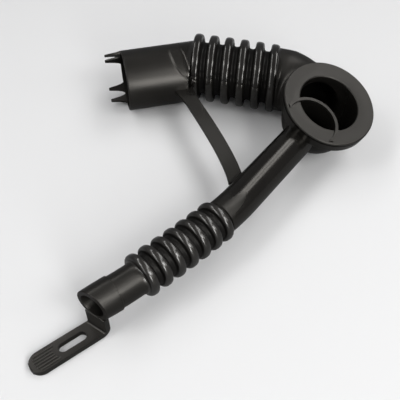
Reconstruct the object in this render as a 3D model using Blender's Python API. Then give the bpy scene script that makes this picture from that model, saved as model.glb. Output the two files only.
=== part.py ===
# One-piece rubber hose of a washing machine, in metres, lying on a table at z = 0.
# A wide bellows leg runs from the pump cuff to an elbow whose collar faces up,
# and a narrow branch with its own bellows runs from the elbow to a small cuff with a tongue.
# Every leg lies in one mould plane, and each is laid out from the middle of the elbow.
import math

import bmesh
import bpy
from mathutils import Matrix, Vector

MM = 0.001

# Wide leg, from the elbow outwards: lengths along its axis, turns to the left in degrees,
# and how far its rings lean from square to the axis
ELBOW_HEADING = 97.0
ELBOW_RUN = 20.0 * MM
ELBOW_BEND_LENGTH = 30.0 * MM
ELBOW_BEND_TURN = 66.5
ELBOW_WALL = 2.6 * MM
RING_COUNT = 6
RING_PITCH = 10.85 * MM
RING_RADIUS = 23.3 * MM
RING_WIDTH = 5.8 * MM
VALLEY_RADIUS = 17.6 * MM
BELLOWS_WALL = 1.9 * MM
BELLOWS_TURN = 5.0
FIRST_RING_LEAN = -7.0
LAST_RING_LEAN = -4.0
ELBOW_RADIUS = 20.0 * MM
NECK_LENGTH = 5.1 * MM
NECK_TURN = 25.0
NECK_SLIDE = 7.9 * MM
CUFF_LENGTH = 40.1 * MM
CUFF_RADIUS = 20.8 * MM
CUFF_WALL = 2.6 * MM
CUFF_RIM_BEVEL = 0.8 * MM

# Four pointed lugs on the pump cuff's rim, by their angle round it from the mould plane
LUG_ANGLES = (38.0, 15.0, -50.0, -77.0)
LUG_LENGTH = 11.0 * MM
LUG_ROOT_WIDTH = 5.4 * MM
LUG_TIP_WIDTH = 1.8 * MM
LUG_ROOT_THICKNESS = 1.7 * MM
LUG_TIP_THICKNESS = 1.1 * MM
LUG_INSET = 0.15 * MM
LUG_SEAT = 2.5 * MM

# Elbow chamber and the collar that hooks into the tub outlet
CHAMBER_WALL = 2.5 * MM
MOUTH_TILT = 22.8
MOUTH_TILT_HEADING = -49.7
FACE_RISE = 19.5 * MM
COLLAR_RADIUS = 30.5 * MM
COLLAR_THICKNESS = 8.0 * MM
COLLAR_BEVEL = 0.6 * MM
GROOVE_DEPTH = 1.6 * MM
GROOVE_WIDTH = 0.9 * MM
FACE_LIP = 1.5 * MM
MOUTH_RADIUS = 19.5 * MM
MOUTH_LIP = 4.5 * MM

# Curved partition that keeps the branch's water apart inside the mouth
PARTITION_RADIUS = 16.8 * MM
PARTITION_OFFSET = 21.9 * MM
PARTITION_WALL = 1.9 * MM
PARTITION_RISE = 0.7 * MM
PARTITION_MARGIN = 2.0 * MM
PARTITION_HALF_ANGLE = 112.0

# Narrow branch, from the elbow outwards
BRANCH_HEADING = 233.5
BRANCH_RUN = 88.0 * MM
BRANCH_BEND_LENGTH = 20.0 * MM
BRANCH_BEND_TURN = -8.0
BRANCH_RADIUS = 10.5 * MM
BRANCH_WALL = 2.3 * MM
SMALL_RING_COUNT = 7
SMALL_RING_PITCH = 8.8 * MM
SMALL_RING_RADIUS = 12.7 * MM
SMALL_RING_WIDTH = 5.0 * MM
SMALL_VALLEY_RADIUS = 9.7 * MM
SMALL_BELLOWS_WALL = 1.6 * MM
SMALL_BELLOWS_TURN = -5.5
SMALL_RING_LEAN = -3.0
SMALL_NECK_LENGTH = 13.3 * MM
SMALL_NECK_RADIUS = 9.3 * MM
SMALL_CUFF_LENGTH = 13.0 * MM
SMALL_CUFF_RADIUS = 10.0 * MM
SMALL_CUFF_TURN = -2.6
SMALL_BORE_RADIUS = 7.1 * MM
SMALL_MOUTH_LEAN = -18.0

# Tongue folded down from the small mouth and lying on the table
TONGUE_WIDTH = 12.6 * MM
TONGUE_THICKNESS = 2.8 * MM
TONGUE_LENGTH = 39.0 * MM
TONGUE_FOLD_RADIUS = 2.6 * MM
TONGUE_PROUD = 0.15 * MM
SLOT_START = 6.5 * MM
SLOT_LENGTH = 16.0 * MM
SLOT_WIDTH = 4.8 * MM
GRIP_COUNT = 6
GRIP_PITCH = 1.6 * MM
GRIP_WIDTH = 0.8 * MM
GRIP_HEIGHT = 0.5 * MM
GRIP_LENGTH = 11.0 * MM
GRIP_TIP_MARGIN = 3.0 * MM

# Flat strap that ties the pump cuff to the branch
STRAP_WIDTH = 9.4 * MM
STRAP_THICKNESS = 2.4 * MM
STRAP_FLARE = 4.0 * MM
STRAP_FLARE_SHARE = 0.22
STRAP_BITE = 1.2 * MM
STRAP_FROM_NECK = 2.0 * MM
STRAP_ON_BRANCH = 80.5 * MM
STRAP_START_HEADING = -66.0
STRAP_END_HEADING = -86.0
STRAP_PULL = 62.0 * MM

# Share of the gap between two rings that each ring's foot takes up
VALLEY_CORNER = 0.25

# Where the branch and its bore begin, as shares of the chamber's radius from the elbow's middle
BRANCH_ROOT_SHARE = 0.5
BRANCH_BORE_SHARE = 0.6

# Fineness of the faceted solid
WIDE_SIDES = 30
WIDE_BORE_SIDES = 24
NARROW_SIDES = 20
NARROW_BORE_SIDES = 16
COLLAR_SIDES = 40
RING_ARC_POINTS = 5
SMALL_RING_ARC_POINTS = 4
BOWL_STEPS = 5
INNER_BOWL_STEPS = 4
BOWL_FOOT_STEP = 0.35
PARTITION_STEPS = 14
FOLD_STEPS = 4
TIP_STEPS = 6
TIP_BLUNTNESS = 0.07
SLOT_END_STEPS = 8
STRAP_STEPS = 12
LONGEST_STEP = 9.0 * MM
SHARP_ANGLE = 50.0

# How far a cutter runs past the wall that it cuts
OVERSHOOT = 3.0 * MM

# The wide rings and the chamber rest on the table, which sets the height of the mould plane.
AXIS_HEIGHT = RING_RADIUS
CHAMBER_RADIUS = AXIS_HEIGHT
UP = Vector((0.0, 0.0, 1.0))
ELBOW = Vector((0.0, 0.0, AXIS_HEIGHT))

# A stretch of a route is its length, its turn to the left and its slide to the left.
WIDE_ROUTE = (
    (ELBOW_RUN, 0.0, 0.0),
    (ELBOW_BEND_LENGTH, ELBOW_BEND_TURN, 0.0),
    (RING_COUNT * RING_PITCH, BELLOWS_TURN, 0.0),
    (NECK_LENGTH, NECK_TURN, NECK_SLIDE),
    (CUFF_LENGTH, 0.0, 0.0),
)
BRANCH_ROUTE = (
    (BRANCH_RUN, 0.0, 0.0),
    (BRANCH_BEND_LENGTH, BRANCH_BEND_TURN, 0.0),
    (SMALL_RING_COUNT * SMALL_RING_PITCH, SMALL_BELLOWS_TURN, 0.0),
    (SMALL_NECK_LENGTH, SMALL_CUFF_TURN, 0.0),
    (SMALL_CUFF_LENGTH, 0.0, 0.0),
)
BELLOWS_START = ELBOW_RUN + ELBOW_BEND_LENGTH
ELBOW_END = BELLOWS_START - RING_WIDTH / 2.0
BELLOWS_END = BELLOWS_START + RING_COUNT * RING_PITCH
CUFF_START = BELLOWS_END + NECK_LENGTH
CUFF_END = CUFF_START + CUFF_LENGTH
SMALL_BELLOWS_START = BRANCH_RUN + BRANCH_BEND_LENGTH
SMALL_BELLOWS_END = SMALL_BELLOWS_START + SMALL_RING_COUNT * SMALL_RING_PITCH
SMALL_CUFF_START = SMALL_BELLOWS_END + SMALL_NECK_LENGTH
SMALL_CUFF_END = SMALL_CUFF_START + SMALL_CUFF_LENGTH


def direction(heading):
    angle = math.radians(heading)
    return Vector((math.cos(angle), math.sin(angle), 0.0))


def walk(route, heading, distance):
    # The point and the heading at a distance along a route of straights and arcs.
    # Beyond its last stretch the route runs straight on.
    place = ELBOW.copy()
    left = distance
    for length, turn, slide in (*route, (math.inf, 0.0, 0.0)):
        step = min(left, length)
        turned = turn * step / length if turn else 0.0
        if turned:
            chord = 2.0 * step * math.sin(math.radians(turned) / 2.0) / math.radians(turned)
        else:
            chord = step
        place += direction(heading + turned / 2.0) * chord
        place += direction(heading + 90.0) * slide * step / length
        heading += turned
        left -= step
        if left <= 0.0:
            break
    return place, heading


def wide(distance):
    return walk(WIDE_ROUTE, ELBOW_HEADING, distance)


def branch(distance):
    return walk(BRANCH_ROUTE, BRANCH_HEADING, distance)


def new_object(name, bm):
    bmesh.ops.recalc_face_normals(bm, faces=bm.faces)
    mesh = bpy.data.meshes.new(name)
    bm.to_mesh(mesh)
    bm.free()
    mesh.shade_smooth()
    mesh.set_sharp_from_angle(angle=math.radians(SHARP_ANGLE))
    piece = bpy.data.objects.new(name, mesh)
    bpy.context.scene.collection.objects.link(piece)
    piece.hide_render = True
    piece.display_type = "WIRE"
    return piece


def skinned_rings(name, rings):
    # A closed solid through rings of equally many points, with a flat cap at each end.
    bm = bmesh.new()
    loops = [[bm.verts.new(point) for point in ring] for ring in rings]
    for near, far in zip(loops, loops[1:]):
        for i in range(len(near)):
            j = (i + 1) % len(near)
            bm.faces.new((near[i], near[j], far[j], far[i]))
    # A quad between leaning rings is twisted, and the Booleans need flat faces.
    bmesh.ops.connect_verts_nonplanar(bm, angle_limit=math.radians(0.01), faces=bm.faces[:])
    bm.faces.new(loops[0])
    bm.faces.new(loops[-1])
    return new_object(name, bm)


def pipe(name, route_at, stations, sides):
    # A pipe along a route. A station is its distance, its radius and how far its ring leans in plan.
    rings = []
    for distance, radius, lean in stations:
        centre, heading = route_at(distance)
        across = direction(heading + 90.0) + direction(heading) * math.tan(math.radians(lean))
        rings.append([
            centre + radius * (math.cos(angle) * across + math.sin(angle) * UP)
            for angle in (2.0 * math.pi * i / sides for i in range(sides))
        ])
    return skinned_rings(name, rings)


def with_steps(stations):
    # Adds stations along smooth stretches, so that no facet is longer than the longest step.
    filled = [stations[0]]
    for station in stations[1:]:
        last = filled[-1]
        count = max(1, math.ceil((station[0] - last[0]) / LONGEST_STEP))
        for i in range(1, count):
            share = i / count
            filled.append(tuple(a + (b - a) * share for a, b in zip(last, station)))
        filled.append(station)
    return filled


def ring_leans(first, last, count):
    return [first + (last - first) * i / (count - 1) for i in range(count)]


def outer_rings(start, pitch, crest, width, valley, leans, arc_points):
    # The outside of a bellows: round crests with steep flanks and narrow flat valleys.
    half = width / 2.0
    foot = half + VALLEY_CORNER * (pitch / 2.0 - half)
    stations = []
    for i, lean in enumerate(leans):
        middle = start + (i + 0.5) * pitch
        stations.append((middle - foot, valley, lean))
        for j in range(arc_points):
            angle = math.pi * (j / (arc_points - 1) - 0.5)
            stations.append((
                middle + half * math.sin(angle),
                crest - half + half * math.cos(angle),
                lean,
            ))
        stations.append((middle + foot, valley, lean))
    return stations


def inner_rings(start, pitch, crest, width, valley, leans, wall):
    # The inside of the same bellows, one wall's thickness in from the outside.
    half = width / 2.0 - wall
    foot = half + VALLEY_CORNER * (pitch / 2.0 - width / 2.0)
    shoulder = crest - wall - half
    stations = []
    for i, lean in enumerate(leans):
        middle = start + (i + 0.5) * pitch
        stations += [
            (middle - foot, valley - wall, lean),
            (middle - half, shoulder, lean),
            (middle, crest - wall, lean),
            (middle + half, shoulder, lean),
            (middle + foot, valley - wall, lean),
        ]
    return stations


def wide_leg():
    # The last ring's far flank runs straight into the cuff, which sits a little to one side.
    leans = ring_leans(FIRST_RING_LEAN, LAST_RING_LEAN, RING_COUNT)
    rings = outer_rings(
        BELLOWS_START, RING_PITCH, RING_RADIUS, RING_WIDTH, VALLEY_RADIUS, leans, RING_ARC_POINTS,
    )
    stations = [
        (0.0, ELBOW_RADIUS, 0.0),
        (ELBOW_END, ELBOW_RADIUS, 0.0),
        *rings[:-1],
        (CUFF_START, CUFF_RADIUS, 0.0),
        (CUFF_END - CUFF_RIM_BEVEL, CUFF_RADIUS, 0.0),
        (CUFF_END, CUFF_RADIUS - CUFF_RIM_BEVEL, 0.0),
    ]
    return pipe("wide_leg", wide, with_steps(stations), WIDE_SIDES)


def wide_bore():
    leans = ring_leans(FIRST_RING_LEAN, LAST_RING_LEAN, RING_COUNT)
    elbow_bore = ELBOW_RADIUS - ELBOW_WALL
    stations = [
        (0.0, elbow_bore, 0.0),
        (ELBOW_END, elbow_bore, 0.0),
        *inner_rings(
            BELLOWS_START, RING_PITCH, RING_RADIUS, RING_WIDTH, VALLEY_RADIUS, leans, BELLOWS_WALL,
        ),
        (CUFF_START + CUFF_WALL, CUFF_RADIUS - CUFF_WALL, 0.0),
        (CUFF_END + OVERSHOOT, CUFF_RADIUS - CUFF_WALL, 0.0),
    ]
    return pipe("wide_bore", wide, with_steps(stations), WIDE_BORE_SIDES)


def branch_leg():
    stations = [
        (BRANCH_ROOT_SHARE * CHAMBER_RADIUS, BRANCH_RADIUS, 0.0),
        (SMALL_BELLOWS_START, BRANCH_RADIUS, 0.0),
        *outer_rings(
            SMALL_BELLOWS_START, SMALL_RING_PITCH, SMALL_RING_RADIUS, SMALL_RING_WIDTH,
            SMALL_VALLEY_RADIUS, [SMALL_RING_LEAN] * SMALL_RING_COUNT, SMALL_RING_ARC_POINTS,
        ),
        (SMALL_BELLOWS_END, SMALL_NECK_RADIUS, 0.0),
        (SMALL_CUFF_START, SMALL_NECK_RADIUS, 0.0),
        (SMALL_CUFF_START, SMALL_CUFF_RADIUS, 0.0),
        (SMALL_CUFF_END, SMALL_CUFF_RADIUS, SMALL_MOUTH_LEAN),
    ]
    return pipe("branch_leg", branch, with_steps(stations), NARROW_SIDES)


def branch_bore():
    bore = BRANCH_RADIUS - BRANCH_WALL
    stations = [
        (BRANCH_BORE_SHARE * CHAMBER_RADIUS, bore, 0.0),
        (SMALL_BELLOWS_START, bore, 0.0),
        *inner_rings(
            SMALL_BELLOWS_START, SMALL_RING_PITCH, SMALL_RING_RADIUS, SMALL_RING_WIDTH,
            SMALL_VALLEY_RADIUS, [SMALL_RING_LEAN] * SMALL_RING_COUNT, SMALL_BELLOWS_WALL,
        ),
        (SMALL_BELLOWS_END + SMALL_BELLOWS_WALL, SMALL_BORE_RADIUS, 0.0),
        (SMALL_CUFF_END + 2.0 * OVERSHOOT, SMALL_BORE_RADIUS, 0.0),
    ]
    return pipe("branch_bore", branch, with_steps(stations), NARROW_BORE_SIDES)


def mouth_frame():
    # The mouth's own frame: its origin in the middle of the elbow, +Z out of the mouth,
    # and +X towards the branch.
    lean = math.radians(MOUTH_TILT)
    outward = direction(MOUTH_TILT_HEADING) * math.sin(lean) + UP * math.cos(lean)
    towards = direction(BRANCH_HEADING)
    towards = (towards - outward * towards.dot(outward)).normalized()
    sideways = outward.cross(towards)
    turn = Matrix((towards, sideways, outward)).transposed().to_4x4()
    return Matrix.Translation(ELBOW) @ turn


def turned(name, outline, sides):
    # A solid turned about the mouth's axis from an outline of heights and radii, foot first.
    frame = mouth_frame()
    rings = [
        [
            frame @ Vector((radius * math.cos(angle), radius * math.sin(angle), height))
            for angle in (2.0 * math.pi * i / sides for i in range(sides))
        ]
        for height, radius in outline
    ]
    return skinned_rings(name, rings)


def bowl(radius, steps):
    # The rounded foot of the chamber, as heights and radii from near its lowest point.
    angles = [math.pi / 2.0 * (i + BOWL_FOOT_STEP) / (steps + BOWL_FOOT_STEP) for i in range(steps)]
    return [(-radius * math.cos(angle), radius * math.sin(angle)) for angle in angles]


def chamber():
    under = FACE_RISE - COLLAR_THICKNESS
    groove_top = FACE_RISE - FACE_LIP
    groove_foot = groove_top - GROOVE_WIDTH
    return turned("chamber", [
        *bowl(CHAMBER_RADIUS, BOWL_STEPS),
        (0.0, CHAMBER_RADIUS),
        (under, CHAMBER_RADIUS),
        (under, COLLAR_RADIUS - COLLAR_BEVEL),
        (under + COLLAR_BEVEL, COLLAR_RADIUS),
        (groove_foot, COLLAR_RADIUS),
        (groove_foot, COLLAR_RADIUS - GROOVE_DEPTH),
        (groove_top, COLLAR_RADIUS - GROOVE_DEPTH),
        (groove_top, COLLAR_RADIUS),
        (FACE_RISE - COLLAR_BEVEL, COLLAR_RADIUS),
        (FACE_RISE, COLLAR_RADIUS - COLLAR_BEVEL),
    ], COLLAR_SIDES)


def chamber_void():
    radius = CHAMBER_RADIUS - CHAMBER_WALL
    under_lip = FACE_RISE - MOUTH_LIP
    return turned("chamber_void", [
        *bowl(radius, INNER_BOWL_STEPS),
        (0.0, radius),
        (under_lip, radius),
        (under_lip, MOUTH_RADIUS),
        (FACE_RISE + OVERSHOOT, MOUTH_RADIUS),
    ], WIDE_SIDES)


def partition():
    # A half-round wall across the mouth, kept within the chamber's wall and just proud of the face.
    frame = mouth_frame()
    rings = []
    for i in range(PARTITION_STEPS + 1):
        angle = math.radians(180.0 + PARTITION_HALF_ANGLE * (2.0 * i / PARTITION_STEPS - 1.0))
        spoke = Vector((math.cos(angle), math.sin(angle), 0.0))
        ring = []
        for radius, height in (
            (PARTITION_RADIUS - PARTITION_WALL / 2.0, -CHAMBER_RADIUS),
            (PARTITION_RADIUS + PARTITION_WALL / 2.0, -CHAMBER_RADIUS),
            (PARTITION_RADIUS + PARTITION_WALL / 2.0, FACE_RISE + OVERSHOOT),
            (PARTITION_RADIUS - PARTITION_WALL / 2.0, FACE_RISE + OVERSHOOT),
        ):
            ring.append(frame @ Vector((PARTITION_OFFSET + spoke.x * radius, spoke.y * radius, height)))
        rings.append(ring)
    wall = skinned_rings("partition", rings)
    middle = CHAMBER_RADIUS - CHAMBER_WALL / 2.0
    under = FACE_RISE - COLLAR_THICKNESS + COLLAR_BEVEL
    limit = turned("partition_limit", [
        *bowl(middle, INNER_BOWL_STEPS),
        (0.0, middle),
        (under, middle),
        (under, COLLAR_RADIUS - PARTITION_MARGIN),
        (FACE_RISE + PARTITION_RISE, COLLAR_RADIUS - PARTITION_MARGIN),
    ], WIDE_SIDES)
    combine(wall, limit, "INTERSECT")
    return wall


def ribbon(name, stations):
    # A flat bar through stations of a centre, a half-width and a half-thickness vector.
    return skinned_rings(name, [
        [
            centre - half_width - half_thickness,
            centre + half_width - half_thickness,
            centre + half_width + half_thickness,
            centre - half_width + half_thickness,
        ]
        for centre, half_width, half_thickness in stations
    ])


def lug(number, angle):
    # One taper from inside the cuff's wall to the tip, with its root size at the rim.
    rim, heading = wide(CUFF_END)
    out = direction(heading)
    turn = math.radians(angle)
    radial = math.sin(turn) * UP - math.cos(turn) * direction(heading + 90.0)
    along_rim = out.cross(radial)
    root = rim + radial * (CUFF_RADIUS - CUFF_WALL / 2.0 - LUG_INSET)
    stations = []
    for reach in (-LUG_SEAT, LUG_LENGTH):
        share = reach / LUG_LENGTH
        width = LUG_ROOT_WIDTH + (LUG_TIP_WIDTH - LUG_ROOT_WIDTH) * share
        thickness = LUG_ROOT_THICKNESS + (LUG_TIP_THICKNESS - LUG_ROOT_THICKNESS) * share
        stations.append((root + out * reach, along_rim * width / 2.0, radial * thickness / 2.0))
    return ribbon(f"lug_{number}", stations)


def strap():
    # A smooth flat band in the mould plane, wider where it leaves the cuff.
    cuff_axis, cuff_heading = wide(CUFF_START + STRAP_FROM_NECK)
    start = cuff_axis + direction(cuff_heading + 90.0) * (CUFF_RADIUS - STRAP_BITE)
    branch_axis, branch_heading = branch(STRAP_ON_BRANCH)
    end = branch_axis - direction(branch_heading + 90.0) * (BRANCH_RADIUS - STRAP_BITE)
    leave = direction(STRAP_START_HEADING) * STRAP_PULL
    arrive = direction(STRAP_END_HEADING) * STRAP_PULL
    stations = []
    for i in range(STRAP_STEPS + 1):
        t = i / STRAP_STEPS
        centre = (
            start * (2.0 * t**3 - 3.0 * t**2 + 1.0) + leave * (t**3 - 2.0 * t**2 + t)
            + end * (3.0 * t**2 - 2.0 * t**3) + arrive * (t**3 - t**2)
        )
        along = (
            start * (6.0 * t**2 - 6.0 * t) + leave * (3.0 * t**2 - 4.0 * t + 1.0)
            + end * (6.0 * t - 6.0 * t**2) + arrive * (3.0 * t**2 - 2.0 * t)
        ).normalized()
        flare = STRAP_FLARE * max(0.0, 1.0 - t / STRAP_FLARE_SHARE) ** 2
        half_width = UP.cross(along) * (STRAP_WIDTH + flare) / 2.0
        stations.append((centre, half_width, UP * STRAP_THICKNESS / 2.0))
    return ribbon("strap", stations)


def tongue_frame():
    mouth, heading = branch(SMALL_CUFF_END)
    return mouth, direction(heading), direction(heading + 90.0)


def tongue():
    # A plate down from the mouth's face, a rounded fold and a flat tongue with a round tip.
    # The plate keeps to the leaning face of the mouth, and the lean fades out along the tongue.
    mouth, ahead, across = tongue_frame()
    half_thickness = TONGUE_THICKNESS / 2.0
    half_width = TONGUE_WIDTH / 2.0
    lean = math.tan(math.radians(SMALL_MOUTH_LEAN))
    fold_middle = TONGUE_FOLD_RADIUS + half_thickness
    back = TONGUE_PROUD - half_thickness
    top = (SMALL_BORE_RADIUS + SMALL_CUFF_RADIUS) / 2.0
    foot = AXIS_HEIGHT - half_thickness

    def station(forward, drop, angle, share, width=half_width):
        centre = mouth + ahead * forward - UP * drop
        side = (across + ahead * lean * share) * width
        normal = ahead * math.cos(angle) + UP * math.sin(angle)
        return centre, side, normal * half_thickness

    stations = [station(back, top, 0.0, 1.0)]
    for i in range(FOLD_STEPS + 1):
        angle = math.pi / 2.0 * i / FOLD_STEPS
        stations.append(station(
            back + fold_middle * (1.0 - math.cos(angle)),
            foot - fold_middle * (1.0 - math.sin(angle)),
            angle, 1.0,
        ))
    tip_middle = TONGUE_LENGTH - half_width
    stations.append(station(tip_middle, foot, math.pi / 2.0, 0.0))
    for i in range(1, TIP_STEPS + 1):
        angle = math.pi / 2.0 * min(i / TIP_STEPS, 1.0 - TIP_BLUNTNESS)
        stations.append(station(
            tip_middle + half_width * math.sin(angle), foot, math.pi / 2.0, 0.0,
            half_width * math.cos(angle),
        ))
    return ribbon("tongue", stations)


def tongue_slot():
    # A round-ended slot right through the tongue.
    mouth, ahead, across = tongue_frame()
    radius = SLOT_WIDTH / 2.0
    outline = []
    for end, turn in ((SLOT_START + SLOT_LENGTH - radius, -90.0), (SLOT_START + radius, 90.0)):
        for i in range(SLOT_END_STEPS + 1):
            angle = math.radians(turn + 180.0 * i / SLOT_END_STEPS)
            along = ahead * (end + radius * math.cos(angle))
            outline.append(mouth + along + across * radius * math.sin(angle))
    low = UP * (AXIS_HEIGHT + OVERSHOOT)
    high = UP * (AXIS_HEIGHT - TONGUE_THICKNESS - OVERSHOOT)
    return skinned_rings("tongue_slot", [
        [point - low for point in outline],
        [point - high for point in outline],
    ])


def grip_rib(number):
    mouth, ahead, across = tongue_frame()
    offset = (number - (GRIP_COUNT - 1) / 2.0) * GRIP_PITCH
    reach = math.sqrt((TONGUE_WIDTH / 2.0) ** 2 - offset**2)
    end = TONGUE_LENGTH - TONGUE_WIDTH / 2.0 + reach - GRIP_TIP_MARGIN
    drop = AXIS_HEIGHT - TONGUE_THICKNESS
    line = mouth + across * offset - UP * drop
    return ribbon(f"grip_rib_{number}", [
        (line + ahead * distance, across * GRIP_WIDTH / 2.0, UP * GRIP_HEIGHT)
        for distance in (end - GRIP_LENGTH, end)
    ])


def combine(body, other, operation):
    modifier = body.modifiers.new(f"{operation.lower()}_{other.name}", "BOOLEAN")
    modifier.operation = operation
    modifier.solver = "EXACT"
    modifier.object = other


def rubber():
    material = bpy.data.materials.new("black_rubber")
    material.use_nodes = True
    shader = material.node_tree.nodes["Principled BSDF"]
    shader.inputs["Base Color"].default_value = (0.020, 0.019, 0.018, 1.0)
    shader.inputs["Roughness"].default_value = 0.42
    shader.inputs["Metallic"].default_value = 0.0
    return material


def lowest_corner_and_size(piece):
    evaluated = piece.evaluated_get(bpy.context.evaluated_depsgraph_get())
    corners = [Vector(corner) for corner in evaluated.bound_box]
    low = Vector(min(corner[i] for corner in corners) for i in range(3))
    high = Vector(max(corner[i] for corner in corners) for i in range(3))
    return low, high - low


def connecting_hose():
    body = chamber()
    body.name = "connecting_hose"
    body.hide_render = False
    body.display_type = "TEXTURED"
    for piece in (wide_leg(), branch_leg(), strap(), tongue()):
        combine(body, piece, "UNION")
    for piece in (chamber_void(), wide_bore()):
        combine(body, piece, "DIFFERENCE")
    combine(body, partition(), "UNION")
    for piece in (branch_bore(), tongue_slot()):
        combine(body, piece, "DIFFERENCE")
    for number, angle in enumerate(LUG_ANGLES, 1):
        combine(body, lug(number, angle), "UNION")
    for number in range(GRIP_COUNT):
        combine(body, grip_rib(number), "UNION")
    body.data.materials.append(rubber())
    return body


def clear_scene():
    for old in list(bpy.data.objects):
        bpy.data.objects.remove(old, do_unlink=True)


def main():
    clear_scene()
    body = connecting_hose()
    bpy.context.view_layer.update()
    # The origin goes under the middle of the hose, on the table.
    low, size = lowest_corner_and_size(body)
    frame = bpy.data.objects.new("hose_frame", None)
    bpy.context.scene.collection.objects.link(frame)
    for piece in list(bpy.context.scene.collection.objects):
        if piece is not frame:
            piece.parent = frame
    frame.location = (-low.x - size.x / 2.0, -low.y - size.y / 2.0, -low.z)


main()
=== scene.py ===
import math
import bpy
from mathutils import Matrix, Vector


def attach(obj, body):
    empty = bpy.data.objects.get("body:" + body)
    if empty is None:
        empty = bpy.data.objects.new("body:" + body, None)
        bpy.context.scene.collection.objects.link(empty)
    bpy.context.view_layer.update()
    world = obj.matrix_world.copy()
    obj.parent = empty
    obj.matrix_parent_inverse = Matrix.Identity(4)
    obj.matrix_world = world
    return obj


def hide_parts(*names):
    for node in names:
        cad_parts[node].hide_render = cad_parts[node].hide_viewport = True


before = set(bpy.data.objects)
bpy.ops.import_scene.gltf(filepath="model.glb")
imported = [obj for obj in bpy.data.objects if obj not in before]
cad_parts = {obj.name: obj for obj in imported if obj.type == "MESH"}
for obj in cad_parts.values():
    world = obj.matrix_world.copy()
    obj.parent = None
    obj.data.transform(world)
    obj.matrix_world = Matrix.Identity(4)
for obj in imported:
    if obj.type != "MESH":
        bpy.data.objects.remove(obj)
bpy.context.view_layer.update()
cadNode = "connecting_hose"
mm = 0.001
up = Vector((0, 0, 1))

elbow = {  # both legs start at its middle and lie in one level plane
    "middle": Vector((64.64, 45.4, 23.3)) * mm,
    "heading": 97.0,
    "run": 20.0 * mm,
    "bend": 30.0 * mm,
    "turn": 66.5,
    "radius": 20.0 * mm,
    "wall": 2.6 * mm,
}
bellows = {
    "count": 6,
    "pitch": 10.85 * mm,
    "crest": 23.3 * mm,
    "width": 5.9 * mm,
    "valley": 17.7 * mm,
    "wall": 1.9 * mm,
    "turn": 5.0,
    "firstLean": -7.0,
    "lastLean": -4.0,
    "squareness": 3.0,
    "crestSteps": 14,
    "footShare": 0.66,
    "groove": (21.0 * mm, 19.6 * mm),
}
neck = {"length": 5.1 * mm, "turn": 25.0, "slide": 7.9 * mm, "bore": 13.0 * mm}
cuff = {
    "length": 40.1 * mm,
    "radius": 20.8 * mm,
    "wall": 2.6 * mm,
    "bevel": 0.7 * mm,
    "behindStart": 26.0 * mm,
    "intoRing": 0.5 * mm,
}
wideRoute = (
    (elbow["run"], 0.0, 0.0),
    (elbow["bend"], elbow["turn"], 0.0),
    (bellows["count"] * bellows["pitch"], bellows["turn"], 0.0),
    (neck["length"], neck["turn"], neck["slide"]),
    (cuff["length"], 0.0, 0.0),
)
bellowsStart = elbow["run"] + elbow["bend"]
bellowsEnd = bellowsStart + bellows["count"] * bellows["pitch"]
cuffStart = bellowsEnd + neck["length"]
cuffEnd = cuffStart + cuff["length"]

branchPipe = {
    "heading": 233.5,
    "run": 88.0 * mm,
    "bend": 20.0 * mm,
    "turn": -8.0,
    "radius": 10.5 * mm,
    "wall": 2.3 * mm,
}
smallBellows = {
    "count": 7,
    "pitch": 8.8 * mm,
    "crest": 12.7 * mm,
    "width": 5.0 * mm,
    "valley": 9.7 * mm,
    "wall": 1.6 * mm,
    "turn": -5.5,
    "lean": -3.0,
    "squareness": 2.6,
    "crestSteps": 12,
    "footShare": 0.5,
    "groove": (11.4 * mm, 10.6 * mm),
}
footSteps = 6
smallCuff = {
    "neckLength": 13.3 * mm,
    "neckRadius": 9.35 * mm,
    "turn": -2.6,
    "length": 13.0 * mm,
    "radius": 10.0 * mm,
    "bore": 7.1 * mm,
    "lean": -18.0,
    "edge": 0.5 * mm,
}
branchRoute = (
    (branchPipe["run"], 0.0, 0.0),
    (branchPipe["bend"], branchPipe["turn"], 0.0),
    (smallBellows["count"] * smallBellows["pitch"], smallBellows["turn"], 0.0),
    (smallCuff["neckLength"], smallCuff["turn"], 0.0),
    (smallCuff["length"], 0.0, 0.0),
)
smallStart = branchPipe["run"] + branchPipe["bend"]
smallEnd = smallStart + smallBellows["count"] * smallBellows["pitch"]
smallCuffStart = smallEnd + smallCuff["neckLength"]
smallCuffEnd = smallCuffStart + smallCuff["length"]


def ahead(heading):
    return Vector((math.cos(math.radians(heading)), math.sin(math.radians(heading)), 0))


def walk(route, heading, distance):  # point and heading at a distance along straights and arcs
    place = elbow["middle"].copy()
    left = distance
    for length, turn, slide in (*route, (math.inf, 0.0, 0.0)):
        step = min(left, length)
        turned = turn * step / length if turn else 0.0
        chord = 2 * step * math.sin(math.radians(turned) / 2) / math.radians(turned) if turned else step
        place += ahead(heading + turned / 2) * chord + ahead(heading + 90) * slide * step / length
        heading += turned
        left -= step
        if left <= 0:
            break
    return place, heading


def wideAt(distance):
    return walk(wideRoute, elbow["heading"], distance)


def branchAt(distance):
    return walk(branchRoute, branchPipe["heading"], distance)


def editMode():
    bpy.ops.object.mode_set(mode="EDIT")
    bpy.ops.mesh.select_mode(type="VERT")
    bpy.ops.mesh.select_all(action="SELECT")


def objectMode():
    bpy.ops.object.mode_set(mode="OBJECT")


def named(name):
    piece = bpy.context.object
    piece.name = name
    return piece


def capEnds():  # closes every open rim of the piece in edit mode
    bpy.ops.mesh.select_all(action="DESELECT")
    bpy.ops.mesh.select_mode(type="EDGE")
    bpy.ops.mesh.select_non_manifold(
        extend=False, use_wire=False, use_boundary=True,
        use_multi_face=False, use_non_contiguous=False, use_verts=False,
    )
    bpy.ops.mesh.fill_holes(sides=0)
    bpy.ops.mesh.select_all(action="SELECT")
    bpy.ops.mesh.normals_make_consistent(inside=False)


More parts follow.
